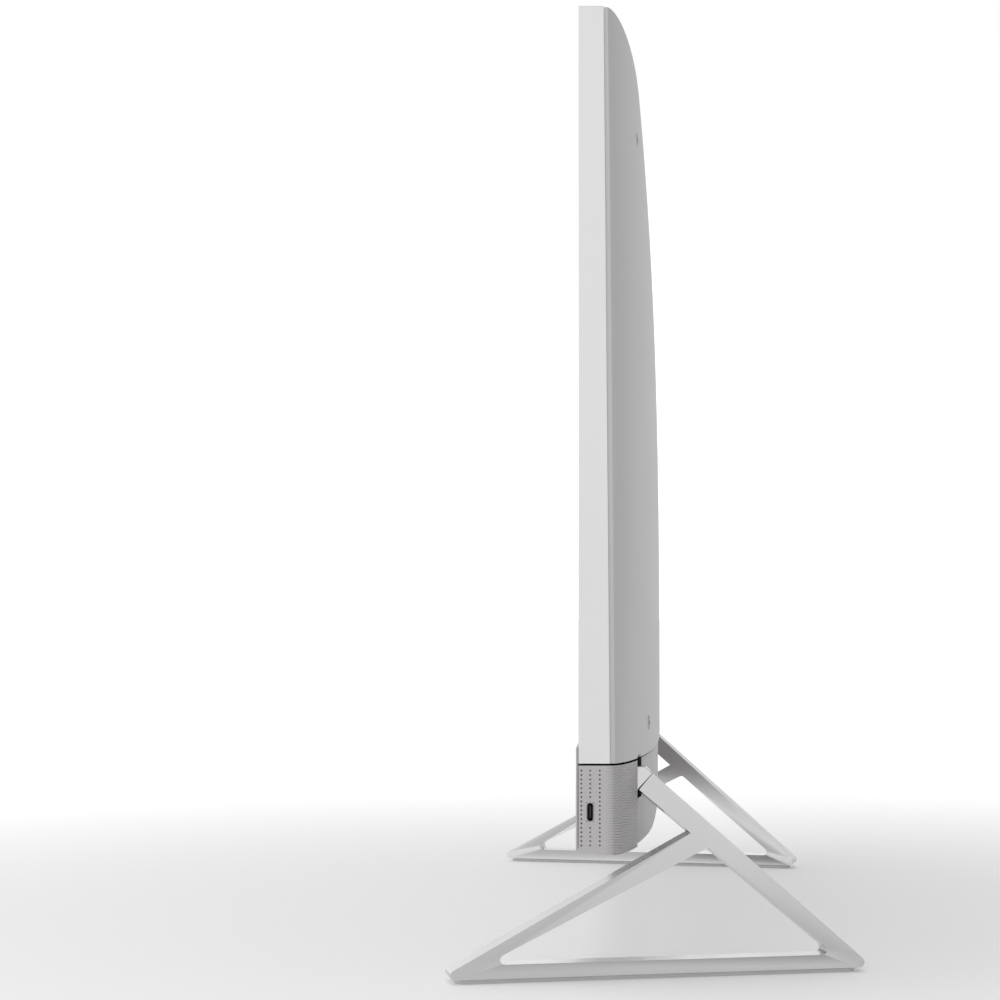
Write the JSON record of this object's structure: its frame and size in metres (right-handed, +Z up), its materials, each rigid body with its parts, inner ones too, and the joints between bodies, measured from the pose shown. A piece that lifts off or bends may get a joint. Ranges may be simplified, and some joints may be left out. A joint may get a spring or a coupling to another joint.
{
  "type": "all in one pc",
  "caption": "Desktop computer built into a wide flat screen: curved back, ribbed chin with side port, on two open triangular metal legs with a tilt hinge.",
  "frame": {"origin": "on the surface it stands on, under the middle of the bounding box", "axes": "+Z up, +X to the right of someone facing the screen, the screen faces -Y"},
  "size_m": [0.614, 0.2122, 0.4805],
  "materials": {
    "white_shell": "satin white paint",
    "rear_shell": "satin white moulding",
    "grey_shell": "fine matte silver-grey moulding",
    "satin_aluminium": "satin blasted cast aluminium with polished edges",
    "foot_rubber": "soft grey rubber",
    "steel": "bright zinc-plated steel",
    "socket_shell": "nickel-plated stamping",
    "screen_glass": "dark anti-glare polarised front",
    "lens_glass": "dark coated lens",
    "light_guide": "white diffuser and reflector",
    "bare_aluminium": "mill finish",
    "copper": "copper",
    "circuit": "green laminate with solder mask",
    "dark_plastic": "black moulding"
  },
  "bodies": {
    "stand": {"foot_pad_left": "foot_rubber", "foot_pad_right": "foot_rubber", "hinge_arm_left": "satin_aluminium", "hinge_arm_right": "satin_aluminium", "hinge_pin_left": "steel", "hinge_pin_right": "steel", "leg_bolt_left": "steel", "leg_bolt_right": "steel", "leg_frame_left": "satin_aluminium", "leg_frame_right": "satin_aluminium"},
    "display": {"antenna_left": "circuit", "antenna_right": "circuit", "audio_socket": "dark_plastic", "backlight_unit": "light_guide", "camera_dock": "dark_plastic", "chassis_plate": "steel", "chin_front_cover": "grey_shell", "chin_rear_cover": "grey_shell", "coin_cell": "steel", "cooler_plate": "copper", "cover_screw_lower_left": "steel", "cover_screw_lower_right": "steel", "cover_screw_upper_left": "steel", "cover_screw_upper_right": "steel", "ethernet_socket": "socket_shell", "fan_housing": "dark_plastic", "front_bezel": "dark_plastic", "hard_drive": "bare_aluminium", "hard_drive_tray": "steel", "hdmi_socket": "socket_shell", "heat_pipe": "copper", "heat_sink": "bare_aluminium", "hinge_bracket_left": "steel", "hinge_bracket_right": "steel", "io_board": "circuit", "lcd_panel": "screen_glass", "memory_module_lower": "circuit", "memory_module_upper": "circuit", "middle_frame": "white_shell", "power_inlet": "dark_plastic", "power_switch_board": "circuit", "processor": "dark_plastic", "rear_cover": "rear_shell", "side_grille_left": "grey_shell", "side_grille_right": "grey_shell", "side_port_board": "circuit", "solid_state_drive": "dark_plastic", "speaker_left": "dark_plastic", "speaker_right": "dark_plastic", "system_board": "circuit", "usb_a_socket_inner": "socket_shell", "usb_a_socket_outer": "socket_shell", "usb_c_socket": "socket_shell", "wireless_card": "circuit"},
    "camera": {"camera_housing": "white_shell", "camera_lens": "lens_glass"},
    "fan": {"fan_rotor": "dark_plastic"},
    "button": {"power_button": "dark_plastic"}
  },
  "joints": [
    {"name": "display_tilt", "type": "hinge", "parent": "stand", "child": "display", "pos_m": [0, -0.01977, 0.1002], "axis": [-1, 0, 0], "range_deg": [-5, 25]},
    {"name": "camera_lift", "type": "slide", "parent": "display", "child": "camera", "axis": [0, 0, 1], "range_m": [0, 0.022]},
    {"name": "fan_spin", "type": "hinge", "parent": "display", "child": "fan", "pos_m": [0.056, -0.02597, 0.3211], "axis": [0, 1, 0], "continuous": true},
    {"name": "power_press", "type": "slide", "parent": "display", "child": "button", "axis": [0, 0, 1], "range_m": [0, 0.001], "stiffness_N_per_m": 400, "springref_m": -0.0005}
  ]
}
